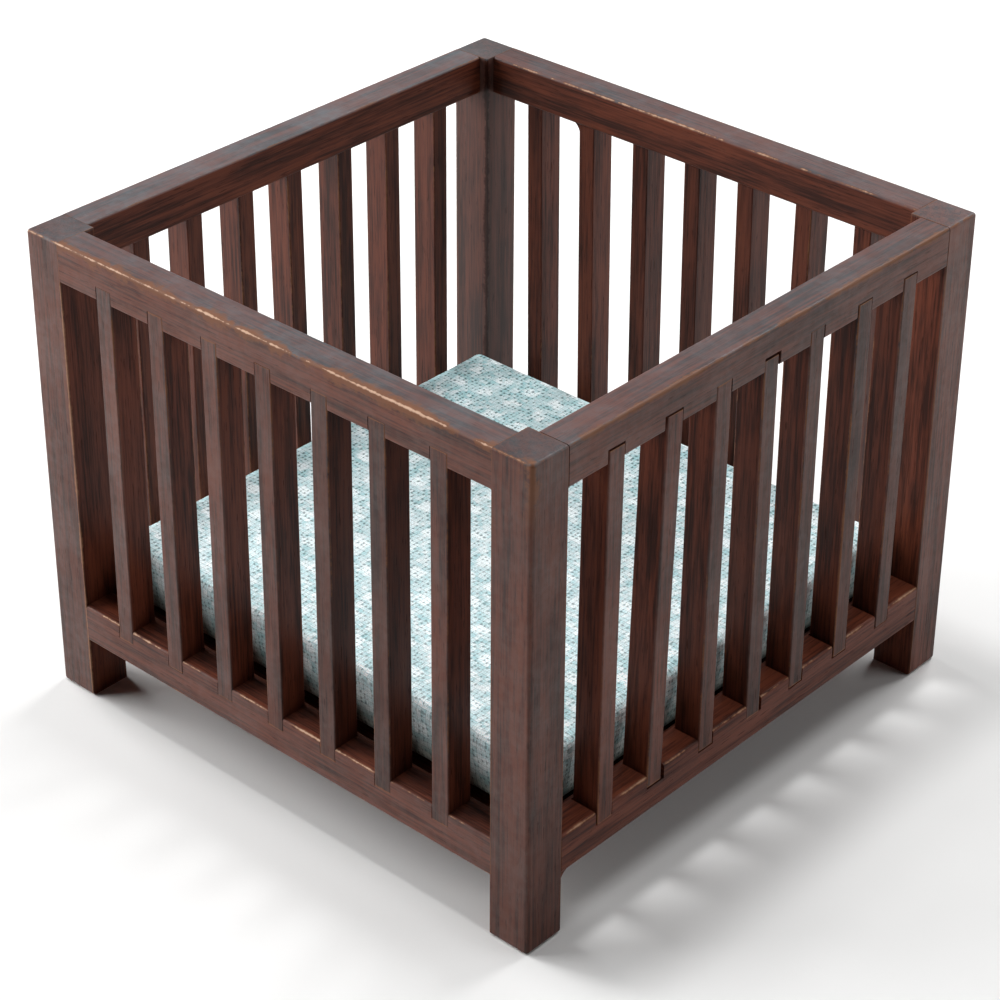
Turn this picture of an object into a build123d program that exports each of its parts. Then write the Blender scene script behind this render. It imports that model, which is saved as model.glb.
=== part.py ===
import os
from math import cos, radians, sin

from build123d import *

# A small square playpen of stained hardwood with slatted sides and a loose pad.
# Millimetres. The origin is on the ground under the pen's middle, X runs along the front, Z is up.

# Overall sizes
PEN_WIDTH = 76.2
PEN_DEPTH = 76.2
PEN_HEIGHT = 61.5

# Corner posts, whose lower ends are the feet
POST_SIDE = 5.4
FOOT_HEIGHT = 8.1
POST_ROUND = 0.5
FOOT_ROUND = 0.48
POST_TOP_ROUND = 0.4

# Rails between the posts, flush with their outer faces
RAIL_HEIGHT = 5.0
RAIL_THICKNESS = 4.2
TENON_HEIGHT = 2.4
TENON_THICKNESS = 1.6
TENON_WEB = 0.9
MORTISE_CLEARANCE = 0.05

# Upright slats, let into notches that are open to the outer face of the rails
SLATS_PER_SIDE = 7
SLAT_WIDTH = 2.4
NOTCH_DEPTH = 1.8
NOTCH_WALL = 0.6

# Worn corners of the rails and slats
EDGE_ROUND = 0.35
SLAT_ROUND = 0.14

# Floor board, held in a groove along the inside of the bottom rails
FLOOR_THICKNESS = 1.6
FLOOR_LIP = 0.6
FLOOR_TONGUE = 0.5
FLOOR_CLEARANCE = 0.05

# Pad: a foam block in a cotton cover, loose on the floor board
PAD_THICKNESS = 9.5
PAD_RAIL_GAP = 0.3
PAD_POST_GAP = 0.5
PAD_REST_GAP = 0.1
PAD_CORNER = 1.0
PAD_EDGE = 1.2
PAD_EDGE_STEPS = 3
PAD_CROWN = 0.3
PAD_CROWN_RUN = 14.0
PAD_DRAW_IN = 0.2
PAD_UNDERCUT = 2.2
PAD_WAIST = 0.55
COVER_THICKNESS = 0.35

# The sides of the pen: turn about Z, outer length, and how much larger each notch is than its slat
SIDES = {
    "front": (0, PEN_WIDTH, 0.04),
    "right": (90, PEN_DEPTH, 0.30),
    "back": (180, PEN_WIDTH, 0.16),
    "left": (270, PEN_DEPTH, 0.16),
}

# How far the hand-set slats of each side stand off an even spacing, at their feet and their heads
SLAT_SHIFTS = {
    "front": ((-0.15, 0.0, -0.05, -0.2, -0.3, -0.25, -0.05), (0.15, 0.2, 0.25, 0.05, 0.0, -0.1, 0.1)),
    "right": ((-0.15, -0.3, 0.3, 0.4, -0.05, 0.05, 0.0), (0.25, 1.0, 0.55, 0.15, -0.2, 0.05, 0.1)),
    "back": ((0.2, 0.5, 0.2, 0.0, -0.2, -0.1, 0.2), (0.4, 0.5, 0.8, 0.5, 0.25, 0.5, 0.7)),
    "left": ((-0.4, -0.2, -0.3, -0.5, -0.6, -0.55, -0.85), (-0.5, -0.25, -0.35, -0.2, -0.65, -0.85, -1.05)),
}

# How the slats of a side sit in their notches: the share of the side's slack that each notch has,
# against which cheek the foot and the head lie, and how high the slat is within the slack
NOTCH_SHARES = (1.0, 1.7, 0.7, 1.2, 0.7, 1.0, 0.8)
FOOT_CHEEKS = (1, -1, 0, -1, 0, 1, 1)
HEAD_CHEEKS = (1, 1, 0, -1, 0, 1, 1)
SLAT_LIFTS = (0.0, 0.5, 1.0, 0.0, 0.8, 0.5, 0.3)

# Rails whose shoulders stop short of the posts, and by how much
OPEN_SHOULDERS = {"top_rail_right": 0.12}

# Beads of glue under the rails at the posts: at which end of the rail, and their radius
POST_BEADS = {
    "top_rail_front": (1, 0.9),
    "top_rail_right": (-1, 0.9),
    "bottom_rail_right": (-1, 2.3),
}

# Beads of glue under the top rails at single slats: which slat, on which side of it, and their radius
SLAT_BEADS = {
    "top_rail_back": (6, 1, 2.1),
    "top_rail_left": (2, -1, 1.2),
}
BEAD_CLEARANCE = 0.02

# Sizes that follow from those above
SLAT_DEPTH = RAIL_THICKNESS - NOTCH_WALL
SLAT_OPENING = PEN_HEIGHT - FOOT_HEIGHT - 2 * RAIL_HEIGHT
TENON_LENGTH = POST_SIDE - (RAIL_THICKNESS + TENON_THICKNESS) / 2 - TENON_WEB
TOP_RAIL_BASE = PEN_HEIGHT - RAIL_HEIGHT
BOTTOM_RAIL_TOP = FOOT_HEIGHT + RAIL_HEIGHT
FLOOR_BASE = FOOT_HEIGHT + FLOOR_LIP
PAD_BASE = FLOOR_BASE + FLOOR_THICKNESS + PAD_REST_GAP
PAD_HALF_X = PEN_WIDTH / 2 - RAIL_THICKNESS - PAD_RAIL_GAP
PAD_HALF_Y = PEN_DEPTH / 2 - POST_SIDE - PAD_POST_GAP

CORNERS = {
    "front_left": (0, -PEN_WIDTH / 2, -PEN_DEPTH / 2),
    "front_right": (90, PEN_WIDTH / 2, -PEN_DEPTH / 2),
    "back_right": (180, PEN_WIDTH / 2, PEN_DEPTH / 2),
    "back_left": (270, -PEN_WIDTH / 2, PEN_DEPTH / 2),
}


def block(low, high):
    """A box from its lowest to its highest corner."""
    size = [b - a for a, b in zip(low, high)]
    return Pos(*low) * Box(*size, align=(Align.MIN, Align.MIN, Align.MIN))


def side_place(side):
    """Where a side stands: in its own frame X runs along it, and Y from the outer face inwards."""
    turn, _, _ = SIDES[side]
    across = PEN_DEPTH if side in ("front", "back") else PEN_WIDTH
    return Rot(0, 0, turn) * Pos(0, -across / 2, 0)


def clear_span(side):
    """The length between the two posts of a side."""
    return SIDES[side][1] - 2 * POST_SIDE


def slat_ends(side, index):
    """Where a slat's middle is along its side, halfway down its foot notch and its head notch."""
    gap = (clear_span(side) - SLATS_PER_SIDE * SLAT_WIDTH) / (SLATS_PER_SIDE + 1)
    even = -clear_span(side) / 2 + gap * (index + 1) + SLAT_WIDTH * (index + 0.5)
    feet, heads = SLAT_SHIFTS[side]
    return even + feet[index % len(feet)], even + heads[index % len(heads)]


def slat_slope(side, index):
    """How far a slat moves along its side for each unit of height."""
    foot, head = slat_ends(side, index)
    return (head - foot) / (SLAT_OPENING + NOTCH_DEPTH)


def notch_slack(side, index):
    """How much larger a notch is than the slat in it."""
    return SIDES[side][2] * NOTCH_SHARES[index % len(NOTCH_SHARES)]


def notch(side, index, notch_base, middle, cheek):
    """The notch round one end of a slat, which lies against one of its cheeks or between them."""
    slack = notch_slack(side, index)
    half = (SLAT_WIDTH + slack + NOTCH_DEPTH * abs(slat_slope(side, index))) / 2
    centre = middle - cheek * slack / 2
    low = (centre - half, -EDGE_ROUND, notch_base)
    high = (centre + half, SLAT_DEPTH, notch_base + NOTCH_DEPTH)
    return block(low, high)


def tenons(side, rail_base, grown=0.0):
    """The stub tenons at both ends of a rail, or the mortises that take them if grown."""
    shoulder = clear_span(side) / 2
    middle_y = RAIL_THICKNESS / 2
    middle_z = rail_base + RAIL_HEIGHT / 2
    half_y = TENON_THICKNESS / 2 + grown
    half_z = TENON_HEIGHT / 2 + grown
    reach = shoulder + TENON_LENGTH + grown
    root = shoulder - TENON_LENGTH
    bars = []
    for start, end in ((-reach, -root), (root, reach)):
        low = (start, middle_y - half_y, middle_z - half_z)
        high = (end, middle_y + half_y, middle_z + half_z)
        bars.append(block(low, high))
    return bars


def rail(side, rail_base, shoulder_gap):
    """A rail with rounded long edges and a stub tenon at each end."""
    shoulder = clear_span(side) / 2 - shoulder_gap
    low = (-shoulder, 0, rail_base)
    high = (shoulder, RAIL_THICKNESS, rail_base + RAIL_HEIGHT)
    bar = block(low, high)
    bar = fillet(bar.edges().filter_by(Axis.X), EDGE_ROUND)
    for tenon in tenons(side, rail_base):
        bar += tenon
    return bar


def shoulder_gap(name, side):
    """How far the shoulders of a rail stop short of the posts."""
    return OPEN_SHOULDERS.get(name, SIDES[side][2] / 4)


def top_rail(name, side):
    """A top rail with a notch in its underside for the head of every slat."""
    bar = rail(side, TOP_RAIL_BASE, shoulder_gap(name, side))
    for index in range(SLATS_PER_SIDE):
        _, head = slat_ends(side, index)
        bar -= notch(side, index, TOP_RAIL_BASE, head, HEAD_CHEEKS[index % len(HEAD_CHEEKS)])
    return bar


def bottom_rail(name, side):
    """A bottom rail with a notch in its top for the foot of every slat and a groove for the floor."""
    bar = rail(side, FOOT_HEIGHT, shoulder_gap(name, side))
    for index in range(SLATS_PER_SIDE):
        foot, _ = slat_ends(side, index)
        notch_base = BOTTOM_RAIL_TOP - NOTCH_DEPTH
        bar -= notch(side, index, notch_base, foot, FOOT_CHEEKS[index % len(FOOT_CHEEKS)])
    return bar - floor_groove(side)


def floor_groove(side):
    """The groove along the inner face of a bottom rail, which takes the floor board's edge."""
    half = clear_span(side) / 2 + POST_SIDE
    low = (-half, RAIL_THICKNESS - FLOOR_TONGUE, FLOOR_BASE)
    high = (half, RAIL_THICKNESS + FLOOR_TONGUE, FLOOR_BASE + FLOOR_THICKNESS + FLOOR_CLEARANCE)
    return block(low, high)


def glue_bead(corner_x, way, rail_base, radius):
    """A hollow bead of glue under a rail, against an upright face that it stands off towards way."""
    middle_x = corner_x + way * radius
    square = block(
        (min(corner_x, middle_x), EDGE_ROUND, rail_base - radius),
        (max(corner_x, middle_x), SLAT_DEPTH - EDGE_ROUND, rail_base + EDGE_ROUND),
    )
    middle = Pos(middle_x, RAIL_THICKNESS / 2, rail_base - radius)
    hollow = middle * Rot(90, 0, 0) * Cylinder(radius, 2 * RAIL_THICKNESS)
    return square - hollow


def post_bead(side, end, rail_base, radius):
    """A bead of glue between a rail and the post at one of its ends."""
    return glue_bead(end * clear_span(side) / 2, -end, rail_base, radius)


def slat_bead(side, number, way, radius):
    """A bead of glue between a top rail and one face of a slat."""
    index = number - 1
    _, head = slat_ends(side, index)
    lean = abs(slat_slope(side, index)) * (radius + NOTCH_DEPTH)
    face = head + way * (SLAT_WIDTH / 2 + lean + BEAD_CLEARANCE)
    return glue_bead(face, way, TOP_RAIL_BASE, radius)


def slat(side, index):
    """A slat with rounded long edges, flush with the outer face and seated in its two notches."""
    slack = notch_slack(side, index)
    slope = slat_slope(side, index)
    foot, _ = slat_ends(side, index)
    rise = SLAT_LIFTS[index % len(SLAT_LIFTS)] * slack
    start = foot + slope * (rise - NOTCH_DEPTH / 2)
    length = SLAT_OPENING + 2 * NOTCH_DEPTH - slack
    section = RectangleRounded(SLAT_WIDTH, SLAT_DEPTH, SLAT_ROUND)
    section = Pos(start, SLAT_DEPTH / 2, BOTTOM_RAIL_TOP - NOTCH_DEPTH + rise) * section
    return Solid.extrude(section.face(), (slope * length, 0, length))


def post(corner):
    """A corner post, worn along its outer edges, with the mortises of the rails that meet it."""
    turn, x, y = CORNERS[corner]
    bar = block((0, 0, 0), (POST_SIDE, POST_SIDE, PEN_HEIGHT))
    outer = bar.edges().filter_by(Axis.Z).sort_by(lambda e: e.center().X + e.center().Y)
    bar = fillet(outer[0], POST_ROUND)
    bottom = bar.faces().sort_by(Axis.Z)[0].edges().filter_by(lambda e: on_outer_face(e))
    bar = fillet(bottom, FOOT_ROUND)
    top = bar.faces().sort_by(Axis.Z)[-1].edges().filter_by(lambda e: on_outer_face(e))
    bar = fillet(top, POST_TOP_ROUND)
    bar = Pos(x, y, 0) * Rot(0, 0, turn) * bar
    for side in SIDES:
        for rail_base in (FOOT_HEIGHT, TOP_RAIL_BASE):
            for mortise in tenons(side, rail_base, MORTISE_CLEARANCE):
                bar -= side_place(side) * mortise
    return bar


def on_outer_face(edge):
    """True for an edge on one of the two outer faces of a post whose outer corner is at 0, 0."""
    middle = edge.center()
    return min(middle.X, middle.Y) < POST_ROUND


def floor_board():
    """The floor board, in the rails' grooves, with its corners cut round the posts."""
    edge = RAIL_THICKNESS - FLOOR_TONGUE + FLOOR_CLEARANCE
    half_x = PEN_WIDTH / 2 - edge
    half_y = PEN_DEPTH / 2 - edge
    board = block(
        (-half_x, -half_y, FLOOR_BASE),
        (half_x, half_y, FLOOR_BASE + FLOOR_THICKNESS),
    )
    cut = 2 * (POST_SIDE + FLOOR_CLEARANCE)
    for _, x, y in CORNERS.values():
        board -= Pos(x, y, FLOOR_BASE) * Box(cut, cut, 2 * FLOOR_THICKNESS + FLOOR_BASE)
    return board


def pad_outline(half_x, half_y, corner, z):
    """A rounded rectangle whose sides are drawn in a little between its corners."""
    inner_x = half_x - corner
    inner_y = half_y - corner
    bend = corner * (1 - 0.5**0.5)
    sides = [
        ((-inner_x, -half_y), (0, -half_y + PAD_DRAW_IN), (inner_x, -half_y)),
        ((inner_x, -half_y), (half_x - bend, -half_y + bend), (half_x, -inner_y)),
        ((half_x, -inner_y), (half_x - PAD_DRAW_IN, 0), (half_x, inner_y)),
        ((half_x, inner_y), (half_x - bend, half_y - bend), (inner_x, half_y)),
        ((inner_x, half_y), (0, half_y - PAD_DRAW_IN), (-inner_x, half_y)),
        ((-inner_x, half_y), (-half_x + bend, half_y - bend), (-half_x, inner_y)),
        ((-half_x, inner_y), (-half_x + PAD_DRAW_IN, 0), (-half_x, -inner_y)),
        ((-half_x, -inner_y), (-half_x + bend, -half_y + bend), (-inner_x, -half_y)),
    ]
    arcs = [ThreePointArc(*[(x, y, z) for x, y in points]) for points in sides]
    return make_face(arcs)


def pad_form(inset):
    """The pad: drawn in below, with soft edges and a low crown, or its filling when inset by the cover."""
    low = PAD_BASE + inset
    high = PAD_BASE + PAD_THICKNESS - inset
    shoulder = high - PAD_CROWN
    waist = low + PAD_WAIST * (high - low)
    turns = [radians(90 * step / PAD_EDGE_STEPS) for step in range(PAD_EDGE_STEPS + 1)]
    rounds = [(PAD_EDGE * (1 - sin(turn)), PAD_EDGE * (1 - cos(turn))) for turn in turns]
    levels = [(low + rise, PAD_UNDERCUT + back) for rise, back in reversed(rounds)]
    levels.append((waist, PAD_UNDERCUT * (1 - PAD_WAIST) ** 2))
    levels += [(shoulder - drop, back) for drop, back in rounds]
    levels.append((high, PAD_EDGE + PAD_CROWN_RUN))
    half_x = PAD_HALF_X - inset
    half_y = PAD_HALF_Y - inset
    faces = [pad_outline(half_x - back, half_y - back, PAD_CORNER, z) for z, back in levels]
    return loft(faces, ruled=True)


def make_parts():
    """Every piece of the pen by name."""
    parts = {f"post_{corner}": post(corner) for corner in CORNERS}
    for side in SIDES:
        place = side_place(side)
        rails = {
            f"top_rail_{side}": (top_rail(f"top_rail_{side}", side), TOP_RAIL_BASE),
            f"bottom_rail_{side}": (bottom_rail(f"bottom_rail_{side}", side), FOOT_HEIGHT),
        }
        for name, (bar, rail_base) in rails.items():
            if name in POST_BEADS:
                end, radius = POST_BEADS[name]
                bar += post_bead(side, end, rail_base, radius)
            if name in SLAT_BEADS:
                bar += slat_bead(side, *SLAT_BEADS[name])
            parts[name] = place * bar
        for index in range(SLATS_PER_SIDE):
            parts[f"slat_{side}_{index + 1}"] = place * slat(side, index)
    parts["floor_board"] = floor_board()
    parts["pad_foam"] = pad_form(COVER_THICKNESS)
    parts["pad_cover"] = pad_form(0) - parts["pad_foam"]
    return parts


os.makedirs("parts", exist_ok=True)
for name, shape in make_parts().items():
    export_step(shape, f"parts/{name}.step")
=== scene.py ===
import math
import random

import bmesh
import bpy
from mathutils import Matrix, Quaternion, Vector


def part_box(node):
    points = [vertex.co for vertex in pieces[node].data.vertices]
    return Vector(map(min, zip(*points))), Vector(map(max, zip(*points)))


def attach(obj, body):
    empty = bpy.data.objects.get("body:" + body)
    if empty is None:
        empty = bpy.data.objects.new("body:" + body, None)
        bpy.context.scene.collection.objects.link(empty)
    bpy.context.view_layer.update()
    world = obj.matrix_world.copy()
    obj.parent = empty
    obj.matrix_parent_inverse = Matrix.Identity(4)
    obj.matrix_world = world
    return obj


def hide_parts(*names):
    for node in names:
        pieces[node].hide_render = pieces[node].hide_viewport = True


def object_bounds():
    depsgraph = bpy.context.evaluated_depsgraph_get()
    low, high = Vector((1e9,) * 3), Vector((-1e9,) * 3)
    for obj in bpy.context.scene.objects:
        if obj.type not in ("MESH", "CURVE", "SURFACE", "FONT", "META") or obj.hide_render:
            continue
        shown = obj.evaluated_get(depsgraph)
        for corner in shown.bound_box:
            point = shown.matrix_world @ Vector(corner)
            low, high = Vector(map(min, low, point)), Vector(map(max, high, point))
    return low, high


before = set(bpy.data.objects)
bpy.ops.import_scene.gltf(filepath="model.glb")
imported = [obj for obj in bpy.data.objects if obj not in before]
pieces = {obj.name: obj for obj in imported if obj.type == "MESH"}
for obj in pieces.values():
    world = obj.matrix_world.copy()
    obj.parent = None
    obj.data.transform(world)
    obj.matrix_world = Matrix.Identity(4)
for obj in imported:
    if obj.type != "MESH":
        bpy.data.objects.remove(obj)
cad_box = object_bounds()
scene = bpy.context.scene
MM = 0.001

# Further off than any face of the pen
FAR = 1.0

# The view of the photograph
VIEW_AZIMUTH = math.radians(42.095)
VIEW_ELEVATION = math.radians(29.960)
VIEW_ROLL = math.radians(0.302)
VIEW_DISTANCE = 0.3538
VIEW_AIM = Vector((-0.0110, 0.0115, 0.0276))
VIEW_LENS = 102.93
VIEW_SHIFT = -0.09

# Stain colours: the darkest streaks, the body of the stain and its thin reddish places
STAIN_DARK = (0.030, 0.0076, 0.0040, 1)
STAIN_BODY = (0.112, 0.0272, 0.0132, 1)
STAIN_RED = (0.190, 0.052, 0.0245, 1)

# Painted sheen: pale colours painted on the outer faces and on the tops, standing in for their reflection of
# the lights
SIDE_SHEEN_PAINT = (0.195, 0.185, 0.180, 1)
TOP_SHEEN_PAINT = (0.138, 0.180, 0.200, 1)

# How much painted sheen there is on the ends (X), the sides (Y) and the tops, and how deep it reaches into
# an arris
SHEEN_AMOUNTS = (0.19, 0.145, 0.33)
SHEEN_DEPTH = 0.35 * MM
SHEEN_FULL = 0.02 * MM

# Painted shade: wood is painted darker towards the ground between these heights
SHADE_LOW = 9 * MM
SHADE_HIGH = 28 * MM
SHADE_TONE = 0.84

# Rubbing that every arris has: its width, and its strength on the posts and on the rest
RUB_WIDTH = 0.22 * MM
RUB_POSTS = 0.32
RUB_REST = 0.50

# Gloss and depth of the wood's open pores
WOOD_SPECULAR = 0.16
PORE_STRENGTH = 0.35
PORE_DEPTH = 0.05 * MM

# Rubbed arrises: where the stain has thinned, and where the wood is bare
RUBBED_WARM = (0.185, 0.075, 0.034, 1)
BARE_WOOD = (0.62, 0.41, 0.29, 1)

# The pad's cover: pairs of threads in a checked basket weave, with small holes where the pairs cross,
# painted dark as shade
WEAVE_PITCH = 0.64 * MM
THREAD_PALE = (0.84, 0.93, 0.95, 1)
THREAD_AQUA = (0.38, 0.65, 0.69, 1)
WEAVE_HOLE_SHADE = (0.055, 0.125, 0.130, 1)
THREAD_WANDER = 0.8 * MM
THREAD_DEPTH = 0.10 * MM
HALF = (0.5, 0.5, 0.5)

# Painted light: along this line over the cloth, towards one corner, the cover is painted paler and less aqua
# and its holes show less
PAINTED_LIGHT_ALONG = (0.7, -0.7, 0.0)

# The cover's check of pale squares, along X and Y: their pitch, the middle of one of them,
# half their share of the pitch and how soft their edges are
CHECK_PITCH = (4.59 * MM, 3.72 * MM)
CHECK_MIDDLE = (-29.5 * MM, 27.8 * MM)
CHECK_SHARE = 0.22
CHECK_EDGE = 0.06

# How much more of the darker thread there is between the squares, and in them, and how much paler they are
CHECK_BETWEEN = 0.10
CHECK_INSIDE = -0.42
CHECK_PALER = 1.08


def place(tree, kind, **settings):
    """Adds a shader node and gives it its settings."""
    node = tree.nodes.new(kind)
    for key, value in settings.items():
        setattr(node, key, value)
    return node


def feed(tree, socket, value):
    """Gives a socket a plain value or a link from another socket."""
    if isinstance(value, bpy.types.NodeSocket):
        tree.links.new(value, socket)
    else:
        socket.default_value = value


def calc(tree, operation, *values, clamp=False):
    """A Math node of one, two or three values."""
    node = place(tree, "ShaderNodeMath", operation=operation, use_clamp=clamp)
    for socket, value in zip(node.inputs, values):
        feed(tree, socket, value)
    return node.outputs[0]


def vector_calc(tree, operation, *values):
    """A Vector Math node of two vectors."""
    node = place(tree, "ShaderNodeVectorMath", operation=operation)
    for socket, value in zip(node.inputs, values):
        feed(tree, socket, value)
    return node.outputs["Value"] if operation == "DOT_PRODUCT" else node.outputs[0]


def dimmed(tree, colour, factor):
    """A colour times a value."""
    node = place(tree, "ShaderNodeVectorMath", operation="SCALE")
    feed(tree, node.inputs[0], colour)
    feed(tree, node.inputs["Scale"], factor)
    return node.outputs[0]


def remap(tree, value, low, high, out_low=0.0, out_high=1.0, smooth=True):
    """Maps low..high of a value onto out_low..out_high."""
    kind = "SMOOTHSTEP" if smooth else "LINEAR"
    node = place(tree, "ShaderNodeMapRange", interpolation_type=kind)
    for name, number in (
        ("Value", value),
        ("From Min", low),
        ("From Max", high),
        ("To Min", out_low),
        ("To Max", out_high),
    ):
        feed(tree, node.inputs[name], number)
    return node.outputs["Result"]


def blend(tree, factor, first, second):
    """Mixes two colours."""
    node = place(tree, "ShaderNodeMix", data_type="RGBA")
    feed(tree, node.inputs["Factor"], factor)
    feed(tree, node.inputs[6], first)
    feed(tree, node.inputs[7], second)
    return node.outputs[2]


def choose(tree, factor, first, second):
    """Mixes two values."""
    node = place(tree, "ShaderNodeMix", data_type="FLOAT")
    for name, value in (("Factor", factor), ("A", first), ("B", second)):
        feed(tree, node.inputs[name], value)
    return node.outputs[0]


def split_xyz(tree, vector):
    """The three parts of a vector."""
    node = place(tree, "ShaderNodeSeparateXYZ")
    feed(tree, node.inputs[0], vector)
    return node.outputs


def stretch(tree, vector, scale):
    """Scales a coordinate, so that a texture on it is stretched."""
    node = place(tree, "ShaderNodeMapping", vector_type="POINT")
    feed(tree, node.inputs["Vector"], vector)
    node.inputs["Scale"].default_value = scale
    return node.outputs[0]


def noise(tree, vector, scale=1.0, detail=3.0, roughness=0.55, distortion=0.0, output="Fac"):
    """A noise texture's grey value or colour."""
    node = place(tree, "ShaderNodeTexNoise")
    feed(tree, node.inputs["Vector"], vector)
    for name, number in (
        ("Scale", scale),
        ("Detail", detail),
        ("Roughness", roughness),
        ("Distortion", distortion),
    ):
        node.inputs[name].default_value = number
    return node.outputs[output]


def new_group(name, inputs, outputs):
    """An empty node group with its sockets, and its input and output nodes."""
    tree = bpy.data.node_groups.new(name, "ShaderNodeTree")
    for label, kind, value in inputs:
        socket = tree.interface.new_socket(label, in_out="INPUT", socket_type=kind)
        if value is not None:
            socket.default_value = value
    for label, kind in outputs:
        tree.interface.new_socket(label, in_out="OUTPUT", socket_type=kind)
    return tree, place(tree, "NodeGroupInput"), place(tree, "NodeGroupOutput")


def grain_group():
    """Stained open-pored hardwood. Its vector is in metres with Z along the grain."""
    tree, given, out = new_group(
        "stained grain",
        (
            ("Along", "NodeSocketVector", None),
            ("Tone", "NodeSocketFloat", 1.0),
            ("Thin", "NodeSocketFloat", 0.5),
        ),
        (
            ("Color", "NodeSocketColor"),
            ("Roughness", "NodeSocketFloat"),
            ("Height", "NodeSocketFloat"),
        ),
    )
    along = given.outputs["Along"]
    bands = noise(tree, stretch(tree, along, (900, 900, 28)), 1.0, 4.0, 0.6, 0.6)
    fibres = noise(tree, stretch(tree, along, (3600, 3600, 130)), 1.0, 3.0, 0.65)
    pores = noise(tree, stretch(tree, along, (5200, 5200, 420)), 1.0, 2.0, 0.5)
    blotches = noise(tree, stretch(tree, along, (150, 150, 60)), 1.0, 3.0, 0.6)
    pore_mask = remap(tree, pores, 0.60, 0.70)
    light = calc(tree, "MULTIPLY_ADD", blotches, 0.6, calc(tree, "MULTIPLY", bands, 0.7))
    light = calc(tree, "ADD", light, calc(tree, "MULTIPLY_ADD", fibres, 0.9, -0.45))
    body = blend(tree, remap(tree, light, 0.40, 0.76), STAIN_DARK, STAIN_BODY)
    red = calc(tree, "MULTIPLY", remap(tree, light, 0.62, 0.95), given.outputs["Thin"])
    colour = blend(tree, red, body, STAIN_RED)
    colour = blend(tree, calc(tree, "MULTIPLY", pore_mask, 0.6), colour, STAIN_DARK)
    rough = remap(tree, bands, 0.3, 0.7, 0.50, 0.38)
    rough = calc(tree, "MULTIPLY_ADD", pore_mask, 0.25, rough)
    height = calc(tree, "MULTIPLY_ADD", pore_mask, -0.9, calc(tree, "MULTIPLY", fibres, 0.5))
    feed(tree, out.inputs["Color"], dimmed(tree, colour, given.outputs["Tone"]))
    feed(tree, out.inputs["Roughness"], rough)
    feed(tree, out.inputs["Height"], height)
    return tree


def wear_group():
    """Mask of the rubbed arrises of a box. Lengths are in metres."""
    tree, given, out = new_group(
        "rubbed edges",
        (
            ("Place", "NodeSocketVector", None),
            ("Low", "NodeSocketVector", None),
            ("High", "NodeSocketVector", None),
            ("Width", "NodeSocketFloat", 0.0003),
            ("Amount", "NodeSocketFloat", 0.5),
        ),
        (("Mask", "NodeSocketFloat"),),
    )
    at = given.outputs["Place"]
    above = vector_calc(tree, "SUBTRACT", at, given.outputs["Low"])
    below = vector_calc(tree, "SUBTRACT", given.outputs["High"], at)
    x, y, z = split_xyz(tree, vector_calc(tree, "MINIMUM", above, below))
    near = calc(tree, "MINIMUM", x, y)
    far = calc(tree, "MAXIMUM", x, y)
    edge = calc(tree, "MAXIMUM", near, calc(tree, "MINIMUM", far, z))
    patches = noise(tree, at, 190.0, 4.0, 0.7)
    chips = noise(tree, at, 1500.0, 3.0, 0.6)
    reach = calc(tree, "MULTIPLY", remap(tree, patches, 0.32, 0.66, 0.15, 1.4), given.outputs["Width"])
    reach = calc(tree, "MULTIPLY", reach, remap(tree, chips, 0.30, 0.70, 0.70, 1.25))
    mask = calc(tree, "SUBTRACT", 1.0, calc(tree, "DIVIDE", edge, reach), clamp=True)
    mask = calc(tree, "MULTIPLY", remap(tree, mask, 0.0, 0.8), given.outputs["Amount"], clamp=True)
    feed(tree, out.inputs["Mask"], mask)
    return tree


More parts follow.
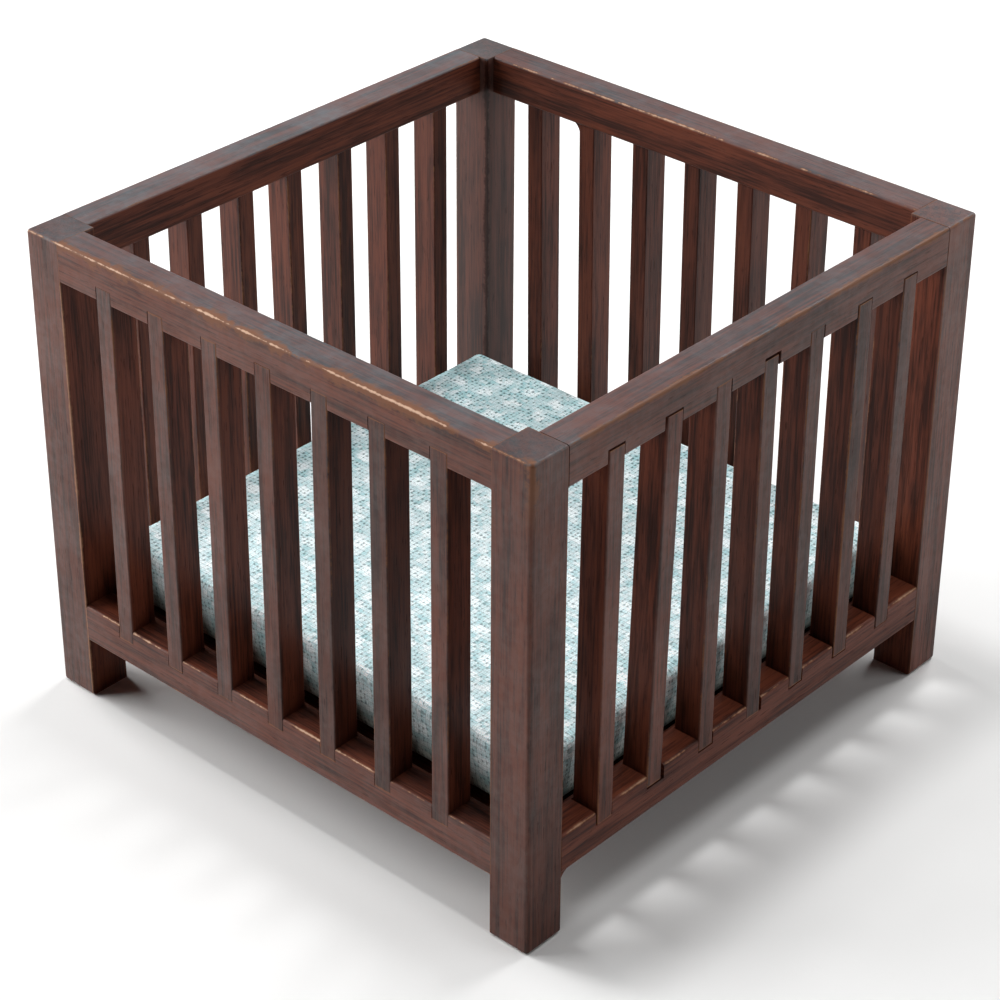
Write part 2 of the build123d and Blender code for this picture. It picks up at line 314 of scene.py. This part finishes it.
def weave_group():
    """Checked basket weave of thread pairs, with painted shade in its holes and where its threads dip, and
    painted light towards one corner. Its vector is a flat cloth coordinate in metres.
    """
    tree, given, out = new_group(
        "basket weave",
        (("Cloth", "NodeSocketVector", None),),
        (
            ("Color", "NodeSocketColor"),
            ("Roughness", "NodeSocketFloat"),
            ("Height", "NodeSocketFloat"),
        ),
    )
    cloth = given.outputs["Cloth"]
    wander = noise(tree, cloth, 500.0, 3.0, output="Color")
    shift = vector_calc(tree, "SUBTRACT", wander, HALF)
    shift = vector_calc(tree, "MULTIPLY", shift, (THREAD_WANDER, THREAD_WANDER, 0.0))
    count = stretch(tree, vector_calc(tree, "ADD", cloth, shift), (1 / WEAVE_PITCH,) * 3)
    crossing = place(tree, "ShaderNodeTexWhiteNoise", noise_dimensions="3D")
    nearest = vector_calc(tree, "FLOOR", vector_calc(tree, "ADD", count, HALF))
    feed(tree, crossing.inputs["Vector"], nearest)
    pair = place(tree, "ShaderNodeTexWhiteNoise", noise_dimensions="3D")
    feed(tree, pair.inputs["Vector"], vector_calc(tree, "FLOOR", count))
    loose = vector_calc(tree, "SUBTRACT", crossing.outputs["Color"], HALF)
    loose = vector_calc(tree, "MULTIPLY", loose, (0.55, 0.55, 0.0))
    off = vector_calc(tree, "SUBTRACT", vector_calc(tree, "SUBTRACT", count, nearest), loose)
    corners = split_xyz(tree, off)[:2]
    ridges, bulges, cells = [], [], []
    for turn in split_xyz(tree, count)[:2]:
        single = calc(tree, "FRACT", calc(tree, "MULTIPLY", turn, 2.0))
        thread = calc(tree, "MULTIPLY_ADD", single, 2.0, -1.0)
        fall = calc(tree, "MULTIPLY", thread, thread)
        ridges.append(calc(tree, "SQRT", calc(tree, "SUBTRACT", 1.05, fall)))
        across = calc(tree, "MULTIPLY_ADD", calc(tree, "FRACT", turn), 2.0, -1.0)
        fall = calc(tree, "POWER", calc(tree, "ABSOLUTE", across), 4.0)
        bulges.append(calc(tree, "SUBTRACT", 1.0, fall))
        cells.append(calc(tree, "FLOOR", turn))
    over = calc(tree, "FLOORED_MODULO", calc(tree, "ADD", *cells), 2.0)
    bulge = calc(tree, "MULTIPLY", *bulges)
    bulge = calc(tree, "MULTIPLY_ADD", bulge, 0.6, 0.4)
    height = calc(tree, "MULTIPLY", choose(tree, over, *ridges), bulge)
    reach = calc(tree, "SQRT", calc(tree, "ADD", *[calc(tree, "MULTIPLY", c, c) for c in corners]))
    size = remap(tree, crossing.outputs["Value"], 0.1, 1.0, 0.08, 0.46, smooth=False)
    hole = remap(tree, reach, size, calc(tree, "MULTIPLY", size, 0.25))
    fuzz = noise(tree, cloth, 7000.0, 2.0, 0.6)
    mottle = noise(tree, cloth, 700.0, 3.0, 0.6)
    stains = noise(tree, cloth, 130.0, 3.0, 0.6)
    uneven = remap(tree, mottle, 0.35, 0.65, -0.20, 0.24)
    aqua = calc(tree, "MULTIPLY_ADD", pair.outputs["Value"], 0.6, uneven)
    # Painted light: paler towards one corner of the cover, more aqua towards the other
    lit_along = vector_calc(tree, "DOT_PRODUCT", cloth, PAINTED_LIGHT_ALONG)
    shaded_aqua = remap(tree, lit_along, -35 * MM, 5 * MM, 0.22, 0.0)
    stripes = []
    for along, pitch, middle in zip(split_xyz(tree, cloth)[:2], CHECK_PITCH, CHECK_MIDDLE):
        turn = calc(tree, "FRACT", calc(tree, "MULTIPLY_ADD", along, 1 / pitch, 0.5 - middle / pitch))
        away = calc(tree, "ABSOLUTE", calc(tree, "SUBTRACT", turn, 0.5))
        stripes.append(remap(tree, away, CHECK_SHARE + CHECK_EDGE, CHECK_SHARE - CHECK_EDGE))
    square = calc(tree, "MULTIPLY", *stripes)
    tint = remap(tree, square, 0.0, 1.0, CHECK_BETWEEN, CHECK_INSIDE, smooth=False)
    aqua = calc(tree, "ADD", aqua, tint)
    colour = blend(tree, calc(tree, "ADD", aqua, shaded_aqua, clamp=True), THREAD_PALE, THREAD_AQUA)
    # Painted shade where the threads dip
    dim = remap(tree, height, 0.0, 0.8, 0.58, 1.0)
    dim = calc(tree, "MULTIPLY", dim, remap(tree, fuzz, 0.3, 0.7, 0.76, 1.16))
    dim = calc(tree, "MULTIPLY", dim, remap(tree, stains, 0.3, 0.7, 0.94, 1.04))
    # Painted light: paler towards one corner
    dim = calc(tree, "MULTIPLY", dim, remap(tree, lit_along, -40 * MM, 36 * MM, 0.86, 1.17))
    dim = calc(tree, "MULTIPLY", dim, remap(tree, square, 0.0, 1.0, 1.0, CHECK_PALER, smooth=False))
    shown = calc(tree, "MULTIPLY", hole, remap(tree, lit_along, -30 * MM, 20 * MM, 1.0, 0.6))
    # Painted shade in the holes
    colour = blend(tree, shown, dimmed(tree, colour, dim), WEAVE_HOLE_SHADE)
    feed(tree, out.inputs["Color"], colour)
    feed(tree, out.inputs["Roughness"], remap(tree, fuzz, 0.3, 0.7, 0.80, 0.95))
    height = calc(tree, "MULTIPLY_ADD", fuzz, 0.12, height)
    feed(tree, out.inputs["Height"], calc(tree, "SUBTRACT", height, hole))
    return tree


def sheen_group():
    """Masks of painted sheen on the outer faces round a box and on its top, weaker on the ends near the
    ground.
    """
    tree, given, out = new_group(
        "painted sheen",
        (
            ("Place", "NodeSocketVector", None),
            ("Low", "NodeSocketVector", None),
            ("High", "NodeSocketVector", None),
            ("Ends", "NodeSocketFloat", 0.15),
            ("Sides", "NodeSocketFloat", 0.15),
            ("Top", "NodeSocketFloat", 0.23),
        ),
        (("Side sheen", "NodeSocketFloat"), ("Top sheen", "NodeSocketFloat")),
    )
    at = given.outputs["Place"]
    above = vector_calc(tree, "SUBTRACT", at, given.outputs["Low"])
    below = vector_calc(tree, "SUBTRACT", given.outputs["High"], at)
    x, y, _ = split_xyz(tree, vector_calc(tree, "MINIMUM", above, below))
    ends = calc(tree, "MULTIPLY", remap(tree, x, SHEEN_DEPTH, SHEEN_FULL), given.outputs["Ends"])
    rise = split_xyz(tree, above)[2]
    ends = calc(tree, "MULTIPLY", ends, remap(tree, rise, 4 * MM, 32 * MM, 0.35, 1.0))
    sides = calc(tree, "MULTIPLY", remap(tree, y, SHEEN_DEPTH, SHEEN_FULL), given.outputs["Sides"])
    wax = calc(tree, "MAXIMUM", ends, sides)
    dust = remap(tree, split_xyz(tree, below)[2], SHEEN_DEPTH, SHEEN_FULL)
    dust = calc(tree, "MULTIPLY", dust, given.outputs["Top"])
    uneven = remap(tree, noise(tree, at, 110.0, 4.0, 0.6), 0.3, 0.7, 0.65, 1.35)
    specks = remap(tree, noise(tree, at, 900.0, 3.0, 0.65), 0.3, 0.7, 0.75, 1.25)
    uneven = calc(tree, "MULTIPLY", uneven, specks)
    feed(tree, out.inputs["Side sheen"], calc(tree, "MULTIPLY", wax, uneven))
    uneven = calc(tree, "MULTIPLY_ADD", uneven, 0.6, 0.4)
    feed(tree, out.inputs["Top sheen"], calc(tree, "MULTIPLY", dust, uneven))
    return tree


def use_group(tree, group, **values):
    """Places a node group in a material and feeds its inputs."""
    node = place(tree, "ShaderNodeGroup", node_tree=group)
    for label, value in values.items():
        feed(tree, node.inputs[label], value)
    return node


def new_material(name):
    """A material with its tree and its Principled shader."""
    material = bpy.data.materials.new(name)
    material.use_nodes = True
    tree = material.node_tree
    return material, tree, tree.nodes["Principled BSDF"]


def arris_box(low, high, faces):
    """A piece's box opened up on every side but the two whose faces meet in one arris."""
    ends = {"-": [-FAR] * 3, "+": [FAR] * 3}
    for sign, axis in faces:
        number = "XYZ".index(axis)
        ends[sign][number] = (low if sign == "-" else high)[number]
    return ends["-"], ends["+"]


def stained_wood(name, grain, low, high, rubs, seed, tone, sheen_share, sheen_veil, end_grain):
    """Dark stained wood for one piece: its own cut of the grain, tone, painted sheen, painted shade towards
    the ground and rubbed arrises.
    """
    draw = random.Random(seed)
    material, tree, shader = new_material(f"stained_wood_{name}")
    coords = place(tree, "ShaderNodeTexCoord").outputs["Object"]
    cut = place(tree, "ShaderNodeMapping", vector_type="POINT")
    feed(tree, cut.inputs["Vector"], coords)
    cut.inputs["Rotation"].default_value = GRAIN_TURNS[grain]
    cut.inputs["Location"].default_value = [draw.uniform(-0.4, 0.4) for _ in range(3)]
    tone *= draw.uniform(0.93, 1.07)
    wood = use_group(tree, grain_texture, Along=cut.outputs[0], Tone=tone, Thin=0.4)
    colour = wood.outputs["Color"]
    height = split_xyz(tree, coords)[2]
    if end_grain:
        dark = remap(tree, height, high.z - 0.1 * MM, high.z - 0.03 * MM, 1.0, 0.75)
        colour = dimmed(tree, colour, dark)
    # Painted shade: darker towards the ground
    colour = dimmed(tree, colour, remap(tree, height, SHADE_LOW, SHADE_HIGH, SHADE_TONE, 1.0))
    rubbed = RUB_POSTS if end_grain else RUB_REST
    rub = use_group(tree, edge_texture, Place=coords, Low=low, High=high, Width=RUB_WIDTH, Amount=rubbed)
    mask = rub.outputs["Mask"]
    for faces, width, amount, fade in rubs:
        box_low, box_high = arris_box(low, high, faces)
        rub = use_group(
            tree, edge_texture, Place=coords, Low=box_low, High=box_high, Width=width * MM, Amount=amount
        )
        more = rub.outputs["Mask"]
        if fade:
            more = calc(tree, "MULTIPLY", more, remap(tree, height, fade[0] * MM, fade[1] * MM))
        mask = calc(tree, "MAXIMUM", mask, more)
    # Painted sheen spread over the whole piece
    if sheen_veil:
        colour = blend(tree, sheen_veil, colour, SIDE_SHEEN_PAINT)
    for faces, width, amount in GRIMED.get(name, ()):
        box_low, box_high = arris_box(low, high, faces)
        darkening = use_group(
            tree, edge_texture, Place=coords, Low=box_low, High=box_high, Width=width * MM, Amount=amount
        )
        dark = darkening.outputs["Mask"]
        mask = calc(tree, "MULTIPLY", mask, calc(tree, "SUBTRACT", 1.0, dark))
        colour = blend(tree, dark, colour, STAIN_DARK)
    pen_low, pen_high = cad_box
    ends, sides, top = (most * share for most, share in zip(SHEEN_AMOUNTS, sheen_share))
    sheen = use_group(
        tree, sheen_texture, Place=coords, Low=pen_low, High=pen_high, Ends=ends, Sides=sides, Top=top
    )
    # Painted sheen: pale colour on the outer faces and tops stands in for their reflection of the lights
    colour = blend(tree, sheen.outputs["Side sheen"], colour, SIDE_SHEEN_PAINT)
    colour = blend(tree, sheen.outputs["Top sheen"], colour, TOP_SHEEN_PAINT)
    colour = blend(tree, remap(tree, mask, 0.0, 0.6), colour, RUBBED_WARM)
    colour = blend(tree, remap(tree, mask, 0.45, 1.0), colour, BARE_WOOD)
    feed(tree, shader.inputs["Base Color"], colour)
    feed(tree, shader.inputs["Roughness"], calc(tree, "MULTIPLY_ADD", mask, 0.15, wood.outputs["Roughness"]))
    shader.inputs["Specular IOR Level"].default_value = WOOD_SPECULAR
    relief = place(tree, "ShaderNodeBump")
    relief.inputs["Strength"].default_value = PORE_STRENGTH
    relief.inputs["Distance"].default_value = PORE_DEPTH
    feed(tree, relief.inputs["Height"], wood.outputs["Height"])
    feed(tree, shader.inputs["Normal"], relief.outputs[0])
    return material


def dress(node, material):
    """Gives a piece of the frame its finish."""
    mesh = pieces[node].data
    mesh.materials.clear()
    mesh.materials.append(material)


grain_texture = grain_group()
edge_texture = wear_group()
sheen_texture = sheen_group()
weave_texture = weave_group()

# Wood: which way the grain runs
GRAIN_TURNS = {"X": (0, math.radians(-90), 0), "Y": (math.radians(90), 0, 0), "Z": (0, 0, 0)}
GRAIN_OF_SIDE = {"front": "X", "back": "X", "left": "Y", "right": "Y"}

# Arrises that hands have rubbed: the two faces that meet, width, strength and the heights of its fading
RUBBED = {
    "top_rail_front": ((("-Y", "+Z"), 0.34, 0.90, None), (("-Y", "+Z"), 1.5, 0.42, None)),
    "top_rail_back": ((("-Y", "+Z"), 0.30, 0.80, None), (("+Y", "+Z"), 0.45, 0.45, None)),
    "top_rail_right": ((("+X", "+Z"), 0.70, 0.42, None), (("-X", "+Z"), 0.25, 0.35, None)),
    "top_rail_left": ((("-X", "+Z"), 0.45, 0.45, None),),
    "bottom_rail_front": ((("-Y", "+Z"), 0.30, 0.85, None), (("-Y", "-Z"), 0.34, 0.75, None)),
    "bottom_rail_right": ((("+X", "+Z"), 0.32, 0.68, None), (("+X", "-Z"), 0.28, 0.78, None)),
    "post_front_left": ((("-Y", "+Z"), 0.34, 0.80, None), (("-Y", "+X"), 0.34, 0.62, (57.0, 56.0))),
    "post_front_right": (
        (("+X", "-Y"), 2.0, 0.42, (50.0, 60.5)),
        (("-Y", "+Z"), 0.30, 0.70, None),
        (("+X", "+Z"), 0.30, 0.60, None),
    ),
    "post_back_right": ((("+X", "+Z"), 0.40, 0.50, None),),
}

# Arrises dark with old stain: the two faces that meet, width and strength
GRIMED = {"post_back_left": ((("+X", "-Y"), 0.7, 1.0),)}

# Pieces made darker or paler: partly stock of another shade, partly painted shade and light for how the
# light falls on each piece
TONES = {
    "post_front_right": 0.80,
    "post_back_right": 1.3,
    "slat_front_4": 0.86,
    "slat_front_5": 0.58,
    "slat_front_6": 0.58,
    "slat_front_7": 0.78,
    "post_back_left": 0.78,
    "slat_left_1": 0.95,
    "slat_left_2": 0.95,
    "slat_left_3": 1.0,
    "slat_left_4": 1.05,
    "slat_left_5": 1.05,
    "slat_left_6": 1.05,
    "slat_left_7": 1.05,
    "slat_right_3": 0.80,
    "slat_right_4": 0.74,
    "slat_right_5": 0.70,
    "slat_right_6": 0.68,
    "slat_right_7": 0.68,
    "slat_back_3": 0.85,
    "slat_back_4": 0.80,
    "slat_back_5": 0.85,
    "top_rail_back": 0.92,
    "top_rail_left": 1.15,
    "bottom_rail_front": 1.18,
    "bottom_rail_right": 1.12,
}

# Pieces sawn from another part of the board than their place in the list gives them
CUTS = {"top_rail_front": 103}

# Pieces with more or less painted sheen than the rest: on their ends (X), sides (Y) and tops
SHEEN_SHARES = {
    "post_front_left": (1.0, 1.45, 1.05),
    "post_front_right": (1.0, 1.0, 0.80),
    "post_back_right": (1.3, 1.0, 1.0),
    "slat_front_1": (1.0, 1.5, 1.0),
    "slat_front_2": (1.0, 1.3, 1.0),
    "slat_front_3": (1.0, 1.3, 1.0),
    "top_rail_front": (1.0, 1.0, 1.10),
    "top_rail_right": (1.15, 1.0, 0.90),
    "top_rail_left": (1.0, 1.0, 1.40),
    "bottom_rail_right": (0.0, 1.0, 1.0),
}

# Pieces with a veil of painted sheen all over
SHEEN_VEILS = {"post_back_left": 0.15}
SHEEN_VEILS.update({f"slat_left_{number}": 0.03 for number in range(1, 8)})
wooden = [name for name in pieces if not name.startswith("pad_")]
for seed, name in enumerate(sorted(wooden)):
    kind, side = name.split("_")[0], name.split("_")[-1]
    grain = GRAIN_OF_SIDE.get(side, "Z") if kind in ("top", "bottom") else "Z"
    if kind == "floor":
        grain = "X"
    low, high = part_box(name)
    rubs = RUBBED.get(name, ())
    tone = TONES.get(name, 1.0)
    sheen_share = SHEEN_SHARES.get(name, (1.0, 1.0, 1.0))
    sheen_veil = SHEEN_VEILS.get(name, 0.0)
    finish = stained_wood(
        name, grain, low, high, rubs, CUTS.get(name, seed), tone, sheen_share, sheen_veil, kind == "post"
    )
    dress(name, finish)


def pad_material(low, high):
    """Woven cotton on the pad's own cloth coordinates, with painted shade darkening the foot of its sides.
    """
    material, tree, shader = new_material("pad_cotton")
    cloth = place(tree, "ShaderNodeUVMap", uv_map="cloth")
    weave = use_group(tree, weave_texture, Cloth=cloth.outputs[0])
    coords = place(tree, "ShaderNodeTexCoord").outputs["Object"]
    # Painted shade: the cover is darker towards the foot of its sides
    rise = calc(tree, "MULTIPLY_ADD", noise(tree, coords, 260.0, 3.0), 3 * MM, split_xyz(tree, coords)[2])
    darkening = remap(tree, rise, low.z + 1.5 * MM, high.z, 1.0, 0.0)
    foot_shaded = vector_calc(tree, "MULTIPLY", weave.outputs["Color"], PAD_FOOT_SHADE)
    colour = blend(tree, darkening, weave.outputs["Color"], foot_shaded)
    feed(tree, shader.inputs["Base Color"], colour)
    feed(tree, shader.inputs["Roughness"], weave.outputs["Roughness"])
    shader.inputs["Sheen Weight"].default_value = 0.15
    shader.inputs["Specular IOR Level"].default_value = 0.2
    relief = place(tree, "ShaderNodeBump")
    relief.inputs["Strength"].default_value = 0.5
    relief.inputs["Distance"].default_value = THREAD_DEPTH
    feed(tree, relief.inputs["Height"], weave.outputs["Height"])
    feed(tree, shader.inputs["Normal"], relief.outputs[0])
    return material


# The pad: the mesh is this much larger while the cover is blown up, because cloth settings suit that size
PAD_GROWN = 10.0
PAD_CUTS = 58
PAD_SIDE_CUTS = 7
PAD_EDGE = 1.15 * MM
PAD_SLACK = 0.18 * MM
PAD_UNDERCUT = 1.2 * MM
# Painted shade: the cover's colour is multiplied by this at the foot of its sides
PAD_FOOT_SHADE = (0.46, 0.45, 0.39)


def runs_along(edge, axis):
    """True for an edge that is parallel to an axis."""
    step = edge.verts[1].co - edge.verts[0].co
    return abs(step[axis]) > 0.999 * step.length


def on_rim(edge, half):
    """True for an edge on one of the twelve long corners of a block."""
    middle = (edge.verts[0].co + edge.verts[1].co) / 2
    return sum(abs(abs(middle[axis]) - half[axis]) < 1e-6 for axis in range(3)) >= 2


def make_pad():
    """The foam pad: a soft-edged block blown up a little inside its cover."""
    low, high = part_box("pad_cover")
    half = ((high - low) / 2 - Vector((1, 1, 1)) * PAD_SLACK) * PAD_GROWN
    bm = bmesh.new()
    bmesh.ops.create_cube(bm, size=2.0)
    bmesh.ops.scale(bm, vec=half, verts=bm.verts)
    level = [e for e in bm.edges if not runs_along(e, 2)]
    bmesh.ops.subdivide_edges(bm, edges=level, cuts=PAD_CUTS, use_grid_fill=True)
    upright = [e for e in bm.edges if runs_along(e, 2)]
    bmesh.ops.subdivide_edges(bm, edges=upright, cuts=PAD_SIDE_CUTS, use_grid_fill=True)
    rims = [e for e in bm.edges if on_rim(e, half)]
    bmesh.ops.bevel(
        bm, geom=rims, offset=PAD_EDGE * PAD_GROWN, segments=4, profile=0.5, affect="EDGES", material=-1
    )
    draw_in(bm, half)
    bmesh.ops.recalc_face_normals(bm, faces=bm.faces)
    mesh = bpy.data.meshes.new("pad_cushion")
    bm.to_mesh(mesh)
    bm.free()
    pad = bpy.data.objects.new("pad_cushion", mesh)
    scene.collection.objects.link(pad)
    swell(pad, PAD_SLACK * PAD_GROWN)
    middle = (low + high) / 2
    mesh.transform(Matrix.Translation(middle) @ Matrix.Scale(1 / PAD_GROWN, 4))
    lay_cloth(mesh, high.z)
    for face in mesh.polygons:
        face.use_smooth = True
    mesh.materials.append(pad_material(low, high))
    finer = pad.modifiers.new("finer", "SUBSURF")
    finer.levels = finer.render_levels = 1
    return pad


def draw_in(bm, half):
    """Draws the pad's sides in towards its foot, level by level."""
    levels = {}
    for vertex in bm.verts:
        levels.setdefault(round(vertex.co.z, 5), []).append(vertex)
    for z, ring in levels.items():
        inwards = PAD_UNDERCUT * PAD_GROWN * ((half.z - z) / (2 * half.z)) ** 2
        narrower = (1 - inwards / half.x, 1 - inwards / half.y, 1)
        bmesh.ops.scale(bm, vec=narrower, verts=ring)


def swell(pad, most):
    """Blows the cover up against its own weave, by no more than a set distance."""
    rest = [v.co.copy() for v in pad.data.vertices]
    cloth = pad.modifiers.new("swell", "CLOTH")
    cloth.settings.use_pressure = True
    cloth.settings.uniform_pressure_force = 4.0
    cloth.settings.effector_weights.gravity = 0.0
    for number in range(1, 21):
        scene.frame_set(number)
    ready = pad.evaluated_get(bpy.context.evaluated_depsgraph_get())
    blown = [v.co.copy() for v in ready.data.vertices]
    pad.modifiers.remove(cloth)
    for vertex, start, end in zip(pad.data.vertices, rest, blown):
        move = end - start
        vertex.co = start + move * min(1.0, most / max(move.length, 1e-9))
    scene.frame_set(1)


def lay_cloth(mesh, top):
    """Cloth coordinates that run over the top and straight on down the sides."""
    layer = mesh.uv_layers.new(name="cloth")
    for face in mesh.polygons:
        n = face.normal
        for loop in face.loop_indices:
            x, y, z = mesh.vertices[mesh.loops[loop].vertex_index].co
            down = top - z
            if abs(n.z) >= max(abs(n.x), abs(n.y)):
                spot = (x, y)
            elif abs(n.x) > abs(n.y):
                spot = (x + math.copysign(down, x), y)
            else:
                spot = (x, y + math.copysign(down, y))
            layer.data[loop].uv = spot


pad = make_pad()
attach(pad, "pad")
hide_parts("pad_cover", "pad_foam")


# The ground: two near whites, and the distances between which a painted glow, seen by the camera alone,
# makes it run out into the backdrop
GROUND_DULL = (0.77, 0.77, 0.765, 1)
GROUND_PALE = (0.80, 0.80, 0.795, 1)
GROUND_NEAR = 0.16
GROUND_AWAY = 0.42

# Soft lights: place, what each one is turned to, size and power
LIGHTS = {
    "overhead": ((-0.135, -0.045, 0.90), (0, 0, 0), 0.11, 2.6),
    "left_front": ((-0.62, -0.40, 0.32), (0, 0, 0.03), 0.55, 6.4),
    "left": ((-0.80, -0.08, 0.35), (0, 0, 0.03), 0.50, 6.0),
    "back": ((0.0, 0.57, 0.62), (0, 0, 0.03), 0.45, 5.6),
    "right_back": ((0.62, 0.42, 0.38), (0, 0, 0.03), 0.50, 1.6),
}

# What the backdrop gives to the scene, and what the camera sees of it
BACKDROP_LIGHT = 0.02
BACKDROP_SEEN = 1.0


def make_ground():
    """A plain pale ground, with a painted glow that the camera alone sees, growing with distance from the
    middle.
    """
    bm = bmesh.new()
    bmesh.ops.create_grid(bm, x_segments=1, y_segments=1, size=2.0)
    mesh = bpy.data.meshes.new("ground")
    bm.to_mesh(mesh)
    bm.free()
    ground = bpy.data.objects.new("ground", mesh)
    scene.collection.objects.link(ground)
    material, tree, shader = new_material("pale_ground")
    coords = place(tree, "ShaderNodeTexCoord").outputs["Object"]
    cloudy = remap(tree, noise(tree, coords, 18.0, 2.0), 0.3, 0.7)
    feed(tree, shader.inputs["Base Color"], blend(tree, cloudy, GROUND_DULL, GROUND_PALE))
    shader.inputs["Roughness"].default_value = 0.7
    # Painted glow: seen by the camera alone, the ground glows more the further it is from the middle
    away = calc(tree, "SQRT", vector_calc(tree, "DOT_PRODUCT", coords, coords))
    seen = place(tree, "ShaderNodeLightPath").outputs["Is Camera Ray"]
    glow = calc(tree, "MULTIPLY", remap(tree, away, GROUND_NEAR, GROUND_AWAY), seen)
    shader.inputs["Emission Color"].default_value = (1.0, 1.0, 1.0, 1)
    feed(tree, shader.inputs["Emission Strength"], glow)
    mesh.materials.append(material)


def make_light(name, spot, aim, size, power):
    """A square soft light at a spot, turned to what it lights."""
    data = bpy.data.lights.new(name, "AREA")
    data.size = size
    data.energy = power
    lamp = bpy.data.objects.new(name, data)
    lamp.location = spot
    lamp.rotation_euler = (Vector(aim) - Vector(spot)).to_track_quat("-Z", "Y").to_euler()
    scene.collection.objects.link(lamp)


def make_studio():
    """A pale backdrop all round that gives almost no light of its own."""
    scene.world = bpy.data.worlds.new("studio")
    scene.world.use_nodes = True
    tree = scene.world.node_tree
    seen = place(tree, "ShaderNodeLightPath").outputs["Is Camera Ray"]
    strength = choose(tree, seen, BACKDROP_LIGHT, BACKDROP_SEEN)
    feed(tree, tree.nodes["Background"].inputs["Strength"], strength)
    tree.nodes["Background"].inputs["Color"].default_value = (1.0, 1.0, 1.0, 1)


def make_camera():
    """The camera at the photograph's viewing angle."""
    back = Vector(
        (
            math.sin(VIEW_AZIMUTH) * math.cos(VIEW_ELEVATION),
            -math.cos(VIEW_AZIMUTH) * math.cos(VIEW_ELEVATION),
            math.sin(VIEW_ELEVATION),
        )
    )
    data = bpy.data.cameras.new("photo_view")
    data.lens = VIEW_LENS
    data.sensor_width = 36.0
    data.clip_start = 0.01
    data.clip_end = 20.0
    data.shift_y = VIEW_SHIFT
    camera = bpy.data.objects.new("photo_view", data)
    camera.location = VIEW_AIM + back * VIEW_DISTANCE
    level = back.to_track_quat("Z", "Y")
    camera.rotation_euler = (level @ Quaternion((0, 0, 1), VIEW_ROLL)).to_euler()
    scene.collection.objects.link(camera)
    scene.camera = camera


make_ground()
for name, (spot, aim, size, power) in LIGHTS.items():
    make_light(name, spot, aim, size, power)
make_studio()
make_camera()
scene.view_settings.view_transform = "Standard"
